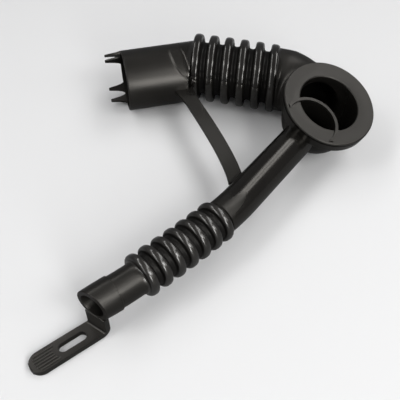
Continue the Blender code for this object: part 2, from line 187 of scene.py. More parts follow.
def nextRing(move, centre, grow, turn):  # extrudes the selected ring or edge, resizes and turns it
    bpy.ops.mesh.extrude_edges_move(TRANSFORM_OT_translate={"value": move})
    if abs(grow - 1) > 1e-6:
        bpy.ops.transform.resize(value=(grow, grow, grow), center_override=centre)
    if abs(turn) > 1e-4:
        bpy.ops.transform.rotate(value=-math.radians(turn), orient_axis="Z", center_override=centre)


def sweptPipe(name, routeAt, stations, sides):  # a station is a distance, a radius and a lean in plan
    bpy.ops.object.select_all(action="DESELECT")
    distance, radius, lean = stations[0]
    centre, heading = routeAt(distance)
    heading -= lean
    bpy.ops.mesh.primitive_circle_add(
        vertices=sides, radius=radius, fill_type="NOTHING", location=centre,
        rotation=(math.pi / 2, 0, math.radians(heading + 90)),
    )
    bpy.ops.object.transform_apply(location=True, rotation=True, scale=True)
    piece = named(name)
    editMode()
    for distance, nextRadius, lean in stations[1:]:
        nextCentre, nextHeading = routeAt(distance)
        nextHeading -= lean
        nextRing(nextCentre - centre, nextCentre, nextRadius / radius, nextHeading - heading)
        centre, heading, radius = nextCentre, nextHeading, nextRadius
    capEnds()
    objectMode()
    return piece


def turnedPiece(name, outline, sides, place):  # a solid turned about Z from heights and radii, then placed
    bpy.ops.object.select_all(action="DESELECT")
    height, radius = outline[0]
    bpy.ops.mesh.primitive_circle_add(
        vertices=sides, radius=radius, fill_type="NOTHING", location=(0, 0, height),
    )
    bpy.ops.object.transform_apply(location=True, rotation=True, scale=True)
    piece = named(name)
    editMode()
    for nextHeight, nextRadius in outline[1:]:
        nextRing(up * (nextHeight - height), up * nextHeight, nextRadius / radius, 0)
        height, radius = nextHeight, nextRadius
    capEnds()
    objectMode()
    piece.matrix_world = place
    bpy.ops.object.transform_apply(location=True, rotation=True, scale=True)
    return piece


def rolled(centre, heading, turn):  # turns the selected edge about its own level axis
    for axis, angle in (("Z", -heading), ("X", turn), ("Z", heading)):
        bpy.ops.transform.rotate(value=-math.radians(angle), orient_axis=axis, center_override=centre)


def sweptEdge(name, places, thickness, edge, rollAt=None):  # a thick strip from centres, headings, lengths
    bpy.ops.object.select_all(action="DESELECT")
    bpy.ops.mesh.primitive_plane_add(size=mm)
    piece = named(name)
    editMode()
    bpy.ops.mesh.merge(type="CENTER")
    centre, heading, length = places[0]
    bpy.ops.transform.translate(value=centre - ahead(heading) * length / 2)
    bpy.ops.mesh.extrude_vertices_move(TRANSFORM_OT_translate={"value": ahead(heading) * length})
    bpy.ops.mesh.select_all(action="SELECT")
    for number, (nextCentre, nextHeading, nextLength) in enumerate(places[1:], 1):
        nextRing(nextCentre - centre, nextCentre, nextLength / length, nextHeading - heading)
        centre, heading, length = nextCentre, nextHeading, nextLength
        if rollAt:
            last = len(places) - 1
            rolled(centre, heading - 90, rollAt(number / last) - rollAt((number - 1) / last))
    objectMode()
    solid = piece.modifiers.new("solid", "SOLIDIFY")
    solid.thickness = thickness
    solid.offset = 0
    solid.use_even_offset = True
    bpy.ops.object.modifier_apply(modifier="solid")
    editMode()
    bpy.ops.mesh.normals_make_consistent(inside=False)
    bpy.ops.mesh.select_all(action="DESELECT")
    bpy.ops.mesh.select_mode(type="EDGE")
    bpy.ops.mesh.edges_select_sharp(sharpness=math.radians(60))
    bpy.ops.mesh.bevel(offset=edge, segments=2, affect="EDGES")
    objectMode()
    return piece


def combined(body, other, operation):  # a Boolean applied to the body, and the other piece removed
    bpy.ops.object.select_all(action="DESELECT")
    bpy.context.view_layer.objects.active = body
    body.select_set(True)
    step = body.modifiers.new("step", "BOOLEAN")
    step.operation = operation
    step.solver = "EXACT"
    step.object = other
    bpy.ops.object.modifier_apply(modifier="step")
    bpy.data.objects.remove(other, do_unlink=True)
    return body


def smoothRing(sizes, middle, lean):  # a square-shouldered crest with a fillet on both sides
    half = sizes["width"] / 2
    gap = sizes["pitch"] / 2 - half
    slope, fillet = gap * 0.1, gap * sizes["footShare"]
    foot = [  # a steep flank and a tight fillet down to the valley
        (half + slope + fillet * (1 - math.cos(turn)), sizes["valley"] + fillet * (1 - math.sin(turn)))
        for turn in (math.pi / 2 * (1 - i / footSteps) for i in range(footSteps + 1))
    ]
    stations = [(middle - reach, radius, lean) for reach, radius in foot]
    power = 2 / sizes["squareness"]
    for i in range(sizes["crestSteps"] + 1):
        angle = math.pi * (i / sizes["crestSteps"] - 0.5)
        reach = math.copysign(abs(math.sin(angle)) ** power, math.sin(angle)) * half
        stations.append((middle + reach, sizes["crest"] - half + half * abs(math.cos(angle)) ** power, lean))
    stations += [(middle + reach, radius, lean) for reach, radius in reversed(foot)]
    return stations


def innerRing(sizes, middle, lean):  # the hollow inside a ring
    wall = sizes["wall"]
    half = sizes["width"] / 2 - wall
    foot = half + 0.25 * (sizes["pitch"] - sizes["width"]) / 2
    top = sizes["crest"] - wall
    return [
        (middle - foot, sizes["valley"] - wall, lean),
        (middle - half, top - half, lean),
        (middle - half * 0.7, top - half * 0.3, lean),
        (middle, top, lean),
        (middle + half * 0.7, top - half * 0.3, lean),
        (middle + half, top - half, lean),
        (middle + foot, sizes["valley"] - wall, lean),
    ]


def withSteps(stations, longest):  # extra stations along the smooth stretches
    filled = [stations[0]]
    for station in stations[1:]:
        last = filled[-1]
        count = max(1, math.ceil((station[0] - last[0]) / longest))
        for i in range(1, count):
            filled.append(tuple(a + (b - a) * i / count for a, b in zip(last, station)))
        filled.append(station)
    return filled


def easedEdge(distance, radius, edge, lean=0.0):  # a rounded outer rim, ending square
    return [
        (distance - edge + edge * math.sin(turn), radius - edge + edge * math.cos(turn), lean)
        for turn in (math.pi / 2 * i / 4 for i in range(5))
    ]


print("wide leg")
leans = [
    bellows["firstLean"] + (bellows["lastLean"] - bellows["firstLean"]) * i / (bellows["count"] - 1)
    for i in range(bellows["count"])
]
flare = {"radius": 21.3 * mm, "start": -14.0 * mm, "end": -5.0 * mm}
outerStations = [
    (0.0, elbow["radius"], 0.0),
    (bellowsStart + flare["start"], elbow["radius"], 0.0),
    (bellowsStart + flare["end"], flare["radius"], 0.0),
]
innerStations = [
    (0.0, elbow["radius"] - elbow["wall"], 0.0),
    (bellowsStart - bellows["width"] / 2, elbow["radius"] - elbow["wall"], 0.0),
]
firstRing = bellowsStart + bellows["pitch"] / 2
for i, lean in enumerate(leans):
    middle = firstRing + i * bellows["pitch"]
    ring = smoothRing(bellows, middle, lean)
    if i == 0:  # the elbow's wall runs straight into the first ring
        ring = [station for station in ring if station[1] > flare["radius"] or station[0] > middle]
        ring.insert(0, (ring[0][0] - 0.05 * mm, flare["radius"], lean))
    outerStations += ring if i < bellows["count"] - 1 else ring[:-footSteps - 1]
    innerStations += innerRing(bellows, middle, lean)
lastRing, lastLean = bellowsEnd - bellows["pitch"] / 2, leans[-1]
outerStations.append((lastRing + bellows["width"] / 2, bellows["valley"] - bellows["wall"] / 2, lastLean))
innerStations += [  # narrow in the neck, where the straight sleeve leaves the bellows' axis
    (lastRing + bellows["width"] / 2, neck["bore"] + 1 * mm, lastLean),
    (bellowsEnd, neck["bore"], 0.0),
    (cuffStart + cuff["wall"], cuff["radius"] - cuff["wall"], 0.0),
    (cuffEnd + 3 * mm, cuff["radius"] - cuff["wall"], 0.0),
]
wideLeg = sweptPipe("wideLeg", wideAt, withSteps(outerStations, 2.5 * mm), 96)


def cuffAt(distance):  # straight on both sides of the cuff's start
    start, heading = wideAt(cuffStart)
    return start + ahead(heading) * (distance - cuffStart), heading


def cutBy(piece, spot, normal):  # removes what lies behind a plane
    bpy.ops.object.select_all(action="DESELECT")
    bpy.context.view_layer.objects.active = piece
    piece.select_set(True)
    editMode()
    bpy.ops.mesh.bisect(plane_co=spot, plane_no=normal, use_fill=True, clear_inner=True)
    bpy.ops.mesh.select_all(action="SELECT")
    bpy.ops.mesh.normals_make_consistent(inside=False)
    objectMode()
    return piece


sleeveStations = [
    (cuffStart - cuff["behindStart"], cuff["radius"], 0.0),
    *easedEdge(cuffEnd, cuff["radius"], cuff["bevel"]),
]
sleeve = sweptPipe("cuffSleeve", cuffAt, withSteps(sleeveStations, 4 * mm), 96)
ringMiddle, ringHeading = wideAt(lastRing)
ringAhead = ahead(ringHeading - lastLean)
cutBy(sleeve, ringMiddle + ringAhead * (bellows["width"] / 2 - cuff["intoRing"]), ringAhead)

skirt = {"radius": 23.15 * mm, "back": 10.0 * mm, "past": 1.6 * mm, "rise": 36.0, "below": 1.5 * mm}
skirtEnd = firstRing + skirt["past"]
skirtPiece = sweptPipe("skirt", wideAt, withSteps([
    (bellowsStart - skirt["back"], skirt["radius"], 0.0),
    (skirtEnd, skirt["radius"], leans[0]),
], 2.5 * mm), 96)
skirtMiddle, skirtHeading = wideAt(bellowsStart)
nearSide = ahead(skirtHeading + 90)
rise = math.radians(skirt["rise"])
cutBy(skirtPiece, skirtMiddle, nearSide * math.sin(rise) - up * math.cos(rise))
bpy.ops.object.select_all(action="DESELECT")
cutterSize = 100 * mm
bpy.ops.mesh.primitive_cube_add(
    size=cutterSize, location=skirtMiddle - up * (cutterSize / 2 + skirt["below"]))
combined(skirtPiece, named("skirtBelow"), "DIFFERENCE")
wideBore = sweptPipe("wideBore", wideAt, withSteps(innerStations, 5 * mm), 64)

print("branch")
outerStations = [
    (0.5 * bellows["crest"], branchPipe["radius"], 0.0),
    (smallStart, branchPipe["radius"], 0.0),
]
innerStations = [
    (0.6 * bellows["crest"], branchPipe["radius"] - branchPipe["wall"], 0.0),
    (smallStart, branchPipe["radius"] - branchPipe["wall"], 0.0),
]
firstSmallRing = smallStart + smallBellows["pitch"] / 2
lastSmallRing = smallEnd - smallBellows["pitch"] / 2
for i in range(smallBellows["count"]):
    middle = firstSmallRing + i * smallBellows["pitch"]
    outerStations += smoothRing(smallBellows, middle, smallBellows["lean"])
    innerStations += innerRing(smallBellows, middle, smallBellows["lean"])
outerStations += [
    (smallEnd, smallCuff["neckRadius"], 0.0),
    (smallCuffStart - 0.15 * mm, smallCuff["neckRadius"], 0.0),
    (smallCuffStart + 0.05 * mm, smallCuff["radius"] - 0.1 * mm, 0.0),
    (smallCuffStart + 0.3 * mm, smallCuff["radius"], 0.0),
    *easedEdge(smallCuffEnd, smallCuff["radius"], smallCuff["edge"], smallCuff["lean"]),
]
innerStations += [
    (smallEnd + smallBellows["wall"], smallCuff["bore"], 0.0),
    (smallCuffEnd + 6 * mm, smallCuff["bore"], 0.0),
]
branchLeg = sweptPipe("branchLeg", branchAt, withSteps(outerStations, 2.5 * mm), 64)
branchBore = sweptPipe("branchBore", branchAt, withSteps(innerStations, 5 * mm), 48)

print("chamber, collar and mouth")
mouth = {
    "tilt": 22.8,
    "tiltHeading": -49.7,
    "rise": 19.5 * mm,
    "radius": 19.5 * mm,
    "lip": 4.5 * mm,
    "round": 1.0 * mm,
    "dish": 0.35 * mm,
    "flat": 3.0 * mm,
    "flareOut": 0.4 * mm,
}
collar = {
    "radius": 30.5 * mm,
    "thickness": 8.0 * mm,
    "edge": 0.8 * mm,
    "faceLip": 1.5 * mm,
    "grooveWidth": 0.9 * mm,
    "grooveDepth": 1.6 * mm,
    "flat": 4.5 * mm,
}
chamber = {"radius": 23.3 * mm, "wall": 2.5 * mm, "underFillet": 1.6 * mm}
outward = ahead(mouth["tiltHeading"]) * math.sin(math.radians(mouth["tilt"]))
outward += up * math.cos(math.radians(mouth["tilt"]))
toBranch = ahead(branchPipe["heading"])
toBranch = (toBranch - outward * toBranch.dot(outward)).normalized()
mouthPlace = Matrix((toBranch, outward.cross(toBranch), outward)).transposed().to_4x4()
mouthPlace = Matrix.Translation(elbow["middle"]) @ mouthPlace


def bowl(radius, steps):  # rounded foot, from near its lowest point up to its widest ring
    turns = [math.pi / 2 * (i + 0.35) / (steps + 0.35) for i in range(steps)]
    return [(-radius * math.cos(turn), radius * math.sin(turn)) for turn in turns]


under = mouth["rise"] - collar["thickness"]
grooveTop = mouth["rise"] - collar["faceLip"]
grooveFoot = grooveTop - collar["grooveWidth"]
fillet = chamber["underFillet"]
edge = collar["edge"]
quarter = [math.pi / 2 * i / 4 for i in range(5)]
body = turnedPiece("hoseBody", [
    *bowl(chamber["radius"], 16),
    (0.0, chamber["radius"]),
    *[(under - fillet + fillet * math.sin(turn), chamber["radius"] + fillet * (1 - math.cos(turn)))
      for turn in quarter],
    *[(under + edge - edge * math.cos(turn), collar["radius"] - edge + edge * math.sin(turn))
      for turn in quarter],
    (grooveFoot, collar["radius"]),
    (grooveFoot, collar["radius"] - collar["grooveDepth"]),
    (grooveTop, collar["radius"] - collar["grooveDepth"]),
    (grooveTop, collar["radius"]),
    *[(mouth["rise"] - edge + edge * math.sin(turn), collar["radius"] - edge + edge * math.cos(turn))
      for turn in quarter],
    (mouth["rise"] - mouth["dish"] * 0.6, collar["radius"] - collar["flat"]),
    (mouth["rise"] - mouth["dish"], mouth["radius"] + mouth["flat"]),
], 128, mouthPlace)
clear = 3 * mm
voidRadius = chamber["radius"] - chamber["wall"]
faceHeight = mouth["rise"] - mouth["dish"]
chamberVoid = turnedPiece("chamberVoid", [
    *bowl(voidRadius, 12),
    (0.0, voidRadius),
    (mouth["rise"] - mouth["lip"] - 0.6 * mm, voidRadius),
    (mouth["rise"] - mouth["lip"], mouth["radius"]),
    *[(faceHeight - mouth["round"] + mouth["round"] * math.sin(turn),
       mouth["radius"] + mouth["round"] * (1 - math.cos(turn))) for turn in quarter],
    (mouth["rise"] + clear, mouth["radius"] + mouth["round"] + mouth["flareOut"]),
], 112, mouthPlace)

print("strap")
strap = {
    "width": 9.4 * mm,
    "thickness": 2.4 * mm,
    "flare": 4.0 * mm,
    "flareShare": 0.22,
    "bite": 1.2 * mm,
    "fromNeck": 2.0 * mm,
    "onBranch": 80.5 * mm,
    "startHeading": -66.0,
    "endHeading": -86.0,
    "pull": 62.0 * mm,
    "steps": 40,
    "twist": 16.0,
    "edge": 0.35 * mm,
}
cuffPoint, cuffHeading = wideAt(cuffStart + strap["fromNeck"])
branchPoint, branchHeading = branchAt(strap["onBranch"])
strapStart = cuffPoint + ahead(cuffHeading + 90) * (cuff["radius"] - strap["bite"])
strapEnd = branchPoint - ahead(branchHeading + 90) * (branchPipe["radius"] - strap["bite"])
leave = ahead(strap["startHeading"]) * strap["pull"]
arrive = ahead(strap["endHeading"]) * strap["pull"]
places = []
for i in range(strap["steps"] + 1):
    t = i / strap["steps"]
    centre = strapStart * (2 * t**3 - 3 * t**2 + 1) + leave * (t**3 - 2 * t**2 + t)
    centre += strapEnd * (3 * t**2 - 2 * t**3) + arrive * (t**3 - t**2)
    along = strapStart * (6 * t**2 - 6 * t) + leave * (3 * t**2 - 4 * t + 1)
    along += strapEnd * (6 * t - 6 * t**2) + arrive * (3 * t**2 - 2 * t)
    width = strap["width"] + strap["flare"] * max(0.0, 1 - t / strap["flareShare"]) ** 2
    places.append((centre, math.degrees(math.atan2(along.y, along.x)) + 90, width))


def twistAt(share):  # none at the ends, most below the middle
    return strap["twist"] * math.sin(math.pi * share**1.3) ** 2


strapPiece = sweptEdge("strap", places, strap["thickness"], strap["edge"], twistAt)

print("tongue")
tongue = {
    "width": 12.6 * mm,
    "thickness": 3.4 * mm,
    "length": 39.0 * mm,
    "fold": 1.3 * mm,
    "proud": 0.15 * mm,
    "foldSteps": 8,
    "tipSteps": 14,
    "slotStart": 6.5 * mm,
    "slotLength": 16.0 * mm,
    "slotWidth": 5.4 * mm,
    "edge": 0.35 * mm,
}
small, smallHeading = branchAt(smallCuffEnd)
forward = ahead(smallHeading)
halfThickness = tongue["thickness"] / 2
halfWidth = tongue["width"] / 2
back = tongue["proud"] - halfThickness
foot = elbow["middle"].z - halfThickness
foldMiddle = tongue["fold"] + halfThickness
leanSlope = math.tan(math.radians(smallCuff["lean"]))


def tonguePlace(reach, drop, leanShare, width=tongue["width"]):
    centre = small + forward * reach - up * drop
    turn = math.degrees(math.atan(-leanSlope * leanShare))
    return centre, smallHeading + 90 + turn, width / math.cos(math.radians(turn))


places = [tonguePlace(back, (smallCuff["bore"] + smallCuff["radius"]) / 2, 1)]
for i in range(tongue["foldSteps"] + 1):
    turn = math.pi / 2 * i / tongue["foldSteps"]
    places.append(tonguePlace(
        back + foldMiddle * (1 - math.cos(turn)), foot - foldMiddle * (1 - math.sin(turn)), 1))
tipMiddle = tongue["length"] - halfWidth
straight = tipMiddle - back - foldMiddle
places += [tonguePlace(back + foldMiddle + straight * i / 6, foot, 1 - i / 6) for i in range(1, 7)]
for i in range(1, tongue["tipSteps"] + 1):
    turn = math.pi / 2 * min(i / tongue["tipSteps"], 0.96)
    places.append(
        tonguePlace(tipMiddle + halfWidth * math.sin(turn), foot, 0, tongue["width"] * math.cos(turn)))
tonguePiece = sweptEdge("tongue", places, tongue["thickness"], tongue["edge"])

print("joined body")
for piece in (wideLeg, sleeve, skirtPiece, branchLeg, strapPiece, tonguePiece):
    combined(body, piece, "UNION")
for piece in (chamberVoid, wideBore):
    combined(body, piece, "DIFFERENCE")

print("partition")
partition = {
    "radius": 16.8 * mm,
    "offset": 21.9 * mm,
    "wall": 1.9 * mm,
    "rise": 0.7 * mm,
    "margin": 2.0 * mm,
    "above": 0.6 * mm,
    "halfAngle": 112.0,
    "steps": 48,
}


def arcWall(name, radius, thickness, low, high, span, place):  # a curved wall along the mouth's axis
    steps = partition["steps"]
    middle = Vector((partition["offset"], 0, low))
    spots = [middle + ahead(180 + span * (2 * i / steps - 1)) * radius for i in range(steps + 1)]
    bpy.ops.object.select_all(action="DESELECT")
    bpy.ops.mesh.primitive_plane_add(size=mm)
    piece = named(name)
    editMode()
    bpy.ops.mesh.merge(type="CENTER")
    bpy.ops.transform.translate(value=spots[0])
    for spot, nextSpot in zip(spots, spots[1:]):
        bpy.ops.mesh.extrude_vertices_move(TRANSFORM_OT_translate={"value": nextSpot - spot})
    bpy.ops.mesh.select_all(action="SELECT")
    bpy.ops.mesh.extrude_edges_move(TRANSFORM_OT_translate={"value": (0, 0, high - low)})
    objectMode()
    solid = piece.modifiers.new("solid", "SOLIDIFY")
    solid.thickness = thickness
    solid.offset = 0
    bpy.ops.object.modifier_apply(modifier="solid")
    editMode()
    bpy.ops.mesh.normals_make_consistent(inside=False)
    objectMode()
    piece.matrix_world = place
    bpy.ops.object.transform_apply(location=True, rotation=True, scale=True)
    return piece


wall = arcWall(
    "partition", partition["radius"], partition["wall"], -chamber["radius"], mouth["rise"] + clear,
    partition["halfAngle"], mouthPlace,
)
limitMiddle = chamber["radius"] - chamber["wall"] / 2
limit = turnedPiece("partitionLimit", [
    *bowl(limitMiddle, 10),
    (0.0, limitMiddle),
    (under + partition["above"], limitMiddle),
    (under + partition["above"], collar["radius"] - partition["margin"]),
    (mouth["rise"] + partition["rise"], collar["radius"] - partition["margin"]),
], 96, mouthPlace)
combined(wall, limit, "INTERSECT")
combined(body, wall, "UNION")
combined(body, branchBore, "DIFFERENCE")

print("slot and grip ribs")
slotRadius = tongue["slotWidth"] / 2
slotLength = tongue["slotLength"] - 2 * slotRadius
bpy.ops.object.select_all(action="DESELECT")
bpy.ops.mesh.primitive_cylinder_add(vertices=40, radius=slotRadius, depth=12 * mm)
slot = named("slot")
editMode()
bpy.ops.mesh.select_all(action="DESELECT")
objectMode()
for vertex in slot.data.vertices:
    vertex.select = vertex.co.x > 1e-7
bpy.ops.object.mode_set(mode="EDIT")
bpy.ops.transform.translate(value=(slotLength, 0, 0))
objectMode()
slotMiddle = small + forward * (tongue["slotStart"] + slotRadius)
slot.matrix_world = Matrix.Translation((slotMiddle.x, slotMiddle.y, halfThickness)) @ Matrix.Rotation(
    math.radians(smallHeading), 4, "Z")
bpy.ops.object.transform_apply(location=True, rotation=True, scale=True)
combined(body, slot, "DIFFERENCE")

grips = {
    "count": 6,
    "pitch": 1.7 * mm,
    "width": 1.1 * mm,
    "height": 0.75 * mm,
    "length": 11.0 * mm,
    "margin": 2.6 * mm,
}
smallPieces = []
for number in range(grips["count"]):
    offset = (number - (grips["count"] - 1) / 2) * grips["pitch"]
    end = tipMiddle + math.sqrt(halfWidth**2 - offset**2) - grips["margin"]
    middle = small + forward * (end - grips["length"] / 2) + ahead(smallHeading + 90) * offset
    bpy.ops.object.select_all(action="DESELECT")
    bpy.ops.mesh.primitive_cylinder_add(
        vertices=12, radius=0.5, depth=grips["length"], rotation=(0, math.pi / 2, 0),
    )
    rib = named(f"gripRib{number + 1}")
    bpy.ops.object.transform_apply(location=False, rotation=True, scale=False)
    rib.matrix_world = Matrix.Translation((middle.x, middle.y, tongue["thickness"])) @ Matrix.Rotation(
        math.radians(smallHeading), 4, "Z") @ Matrix.Diagonal((1, grips["width"], 2 * grips["height"], 1))
    bpy.ops.object.transform_apply(location=True, rotation=True, scale=True)
    smallPieces.append(rib)

print("lugs")
lugs = {
    "angles": (38.0, 15.0, -50.0, -77.0),
    "seat": 1.5 * mm,
    "rootWidth": 7.4 * mm,
    "rootThickness": 2.5 * mm,
    "inset": 0.05 * mm,
    "edge": 0.3 * mm,
    "tapers": ((1.6 * mm, 0.76, 0.9), (3.0 * mm, 0.72, 0.82), (6.4 * mm, 0.5, 0.74)),
}
rim, rimHeading = wideAt(cuffEnd)
out = ahead(rimHeading)
for number, angle in enumerate(lugs["angles"], 1):
    radial = up * math.sin(math.radians(angle)) - ahead(rimHeading + 90) * math.cos(math.radians(angle))
    root = rim + radial * (cuff["radius"] - cuff["wall"] / 2 - lugs["inset"])
    bpy.ops.object.select_all(action="DESELECT")
    bpy.ops.mesh.primitive_cube_add(size=1)
    lug = named(f"lug{number}")
    editMode()
    bpy.ops.transform.resize(value=(0, lugs["rootWidth"], lugs["rootThickness"]))
    bpy.ops.mesh.select_all(action="DESELECT")
    objectMode()
    for vertex in lug.data.vertices:
        vertex.select = vertex.index > 3
    bpy.ops.object.mode_set(mode="EDIT")
    bpy.ops.transform.translate(value=(lugs["seat"], 0, 0))
    for reach, narrow, thin in lugs["tapers"]:
        bpy.ops.mesh.extrude_region_move(TRANSFORM_OT_translate={"value": (reach, 0, 0)})
        bpy.ops.transform.resize(value=(1, narrow, thin))
    bpy.ops.mesh.select_all(action="SELECT")
    bpy.ops.mesh.bevel(offset=lugs["edge"], segments=2, affect="EDGES")
    bpy.ops.mesh.normals_make_consistent(inside=False)
    objectMode()
    turn = Matrix((out, radial.cross(out), radial)).transposed().to_4x4()
    lug.matrix_world = Matrix.Translation(root - out * lugs["seat"]) @ turn
    bpy.ops.object.transform_apply(location=True, rotation=True, scale=True)
    smallPieces.append(lug)

bpy.ops.object.select_all(action="DESELECT")
bpy.context.view_layer.objects.active = body
body.select_set(True)
for piece in smallPieces:
    piece.select_set(True)
bpy.ops.object.join()
bpy.ops.object.shade_smooth_by_angle(angle=math.radians(40))
weighted = body.modifiers.new("weighted", "WEIGHTED_NORMAL")
weighted.keep_sharp = True
bpy.ops.object.modifier_apply(modifier="weighted")
print("triangles", sum(len(face.vertices) - 2 for face in body.data.polygons))


print("rubber")


class Socket:  # shader maths written as sums and products
    def __init__(self, tree, socket):
        self.tree = tree
        self.socket = socket

    def math(self, operation, *others, clamp=False):
        made = self.tree.nodes.new("ShaderNodeMath")
        made.operation = operation
        made.use_clamp = clamp
        for number, value in enumerate((self, *others)):
            self.feed(made.inputs[number], value)
        return Socket(self.tree, made.outputs[0])

    def feed(self, into, value):
        if isinstance(value, Socket):
            self.tree.links.new(value.socket, into)
        else:
            into.default_value = value

    def __add__(self, other):
        return self.math("ADD", other)

    def __sub__(self, other):
        return self.math("SUBTRACT", other)

    def __rsub__(self, other):
        return (self * -1) + other

    def __mul__(self, other):
        return self.math("MULTIPLY", other)

    __radd__ = __add__
    __rmul__ = __mul__

    def node(self, kind, inputs, output=0, **settings):  # any other node, fed by sockets or values
        made = self.tree.nodes.new(kind)
        for setting, value in settings.items():
            setattr(made, setting, value)
        for name, value in inputs.items():
            self.feed(made.inputs[name], value)
        return Socket(self.tree, made.outputs[output])


def mapped(value, low, high):  # nought at low, one at high
    return value.node("ShaderNodeMapRange", {0: value, 1: low, 2: high})


def along(vector, direction):
    return vector.node("ShaderNodeVectorMath", {0: vector, 1: direction}, 1, operation="DOT_PRODUCT")


def largest(first, *others):
    for other in others:
        first = first.math("MAXIMUM", other)
    return first


def ramp(value, rounding):  # nought, then rising one for one, with a rounded start
    return (value + (value * value + rounding * rounding).math("SQRT")) * 0.5


def ridge(value, width):
    return (value * (1 / width) * value * (-1 / width)).math("EXPONENT")


rubber = bpy.data.materials.new("blackRubber")
rubber.use_nodes = True
tree = rubber.node_tree
shader = tree.nodes["Principled BSDF"]
place = Socket(tree, tree.nodes.new("ShaderNodeTexCoord").outputs["Object"])
x, y, z = (place.node("ShaderNodeSeparateXYZ", {0: place}, axis) for axis in range(3))
grain = place.node("ShaderNodeTexNoise", {"Vector": place, "Scale": 1500.0, "Detail": 3.0, "Roughness": 0.6})
patches = place.node("ShaderNodeTexNoise", {"Vector": place, "Scale": 60.0, "Detail": 4.0, "Roughness": 0.55})


def offsetFrom(spot):
    return place.node("ShaderNodeVectorMath", {0: place, 1: spot}, operation="SUBTRACT")


def ringMasks(begin, end, sizes):  # one over all of a bellows, and one in the valleys between its rings, where painted shade goes
    axis = (end - begin).normalized()
    spoke = offsetFrom(begin)
    passed = along(spoke, axis)
    across = spoke.node("ShaderNodeVectorMath", {0: spoke, 1: axis}, operation="CROSS_PRODUCT")
    away = across.node("ShaderNodeVectorMath", {0: across}, 1, operation="LENGTH")
    last, half, soft = (end - begin).length, sizes["width"] / 2 + 1 * mm, 0.5 * mm
    rings = mapped(away, sizes["crest"] + 3 * mm, sizes["crest"] + 2 * mm)
    rings = rings * mapped(passed, -half - soft, -half + soft)
    rings = rings * mapped(passed, last + half + soft, last + half - soft)
    deep = mapped(away, *sizes["groove"]) * mapped(passed, -soft, soft)
    return rings, deep * mapped(passed, last + soft, last - soft)


finish = {
    "darkest": (0.0045, 0.0042, 0.0037, 1),
    "palest": (0.0080, 0.0073, 0.0063, 1),
    "tint": (1.0, 0.955, 0.885, 1),
    "gloss": 0.15,
    "satin": 0.2,
    "strapSatin": 0.05,
    "patchRough": 0.06,
    "grainRough": 0.04,
    "patchHeight": 0.03,
    "grainHeight": 0.0015,
    "wideCoat": 0.8,
    "coatRough": 0.12,
    # painted shade in the valleys between the rings: a dull shader with little shine mixed in
    "paintedValleyShade": 0.8,
    "paintedShadeRough": 0.6,
    "paintedShadeShine": 0.12,
}
fromElbow = offsetFrom(elbow["middle"])
fromRim = offsetFrom(rim)
faceHigh = along(fromElbow, outward)
upCuff = along(fromRim, -out)
besideCuff = along(fromRim, ahead(rimHeading + 90))
pastSmall = along(offsetFrom(small), forward)
offBranch = along(fromElbow, ahead(branchPipe["heading"] - 90))

onFace = mapped(faceHigh, mouth["rise"] - 1.2 * mm, mouth["rise"] - 0.7 * mm)
onCuff = mapped(upCuff, cuff["length"] + 2 * mm, cuff["length"] - 2 * mm)
onElbow = mapped(x, 40 * mm, 44 * mm) * mapped(y, 52 * mm, 58 * mm)
onSmallEnd = mapped(pastSmall, -smallCuff["length"] - 0.3 * mm, -smallCuff["length"] + 0.3 * mm)
onStrap = mapped(offBranch, 11 * mm, 14 * mm) * mapped(y, -32 * mm, -24 * mm) * mapped(y, 69 * mm, 66 * mm)
onWide, wideValleys = ringMasks(wideAt(firstRing)[0], wideAt(lastRing)[0], bellows)
onSmall, smallValleys = ringMasks(branchAt(firstSmallRing)[0], branchAt(lastSmallRing)[0], smallBellows)
valleys = largest(wideValleys, smallValleys)
satin = largest(onFace, onCuff * 0.7, onElbow, onSmallEnd * 0.7, onStrap)

colour = place.node(
    "ShaderNodeMix", {"Factor": patches, 6: finish["darkest"], 7: finish["palest"]}, 2, data_type="RGBA")
rough = finish["gloss"] + satin * finish["satin"] + onStrap * finish["strapSatin"]
rough = rough + patches * finish["patchRough"] + grain * finish["grainRough"]
# the coat is taken out of the valleys, as part of the painted shade there
coat = (onWide * finish["wideCoat"] + onSmall) * (1 - valleys)

print("creases and parting line")
crease = {  # two lines across the neck's near side, where the soft cuff folds against the bellows
    "foldAt": 32.9 * mm,
    "foldTop": 43.4 * mm,
    "foldSlope": 0.4224,
    "foldCurve": 0.002027 / mm / mm,
    "foldLead": 1.5 * mm,
    "startAt": 51.143 * mm,
    "startSlope": -0.23,
    "softness": 0.4 * mm,
    "leastGap": 2.0 * mm,
    "slope": -0.35 / mm,
    "lift": 0.525,
    "ridge": 0.12,
}
sunk = crease["foldTop"] - z
foldPast = upCuff - sunk * crease["foldSlope"] - sunk * sunk * sunk * crease["foldCurve"] - crease["foldAt"]
startPast = upCuff - (z * crease["startSlope"] + crease["startAt"])
raised = foldPast.math("DIVIDE", largest(foldPast - startPast, crease["leastGap"]), clamp=True)
creases = ramp(foldPast + crease["foldLead"], crease["softness"]).math("MINIMUM", crease["foldLead"])
creases = creases * crease["slope"] + raised * crease["lift"]
creases = creases + ridge(startPast, crease["softness"]) * crease["ridge"]
creases = creases * mapped(upCuff, 52 * mm, 48 * mm) * mapped(upCuff, 27 * mm, 30 * mm)
creases = creases * mapped(besideCuff, -2 * mm, 5 * mm) * mapped(y, 45 * mm, 50 * mm)

partingLine = {  # the mould's joint across the rings, steep above and shallow below
    "height": 30.7 * mm,
    "slope": 0.0357,
    "above": 1.1 * mm,
    "below": 3.2 * mm,
    "depth": 0.85,
}
over = z + x * partingLine["slope"] - partingLine["height"]
parting = over.math("MAXIMUM", 0) * (-1 / partingLine["above"])
parting = parting + over.math("MINIMUM", 0) * (1 / partingLine["below"])
parting = parting.math("EXPONENT") * -partingLine["depth"]
parting = parting * mapped(x, 36 * mm, 32 * mm) * mapped(x, -20.4 * mm, -19.2 * mm)
parting = parting * mapped(y, 45 * mm, 50 * mm)

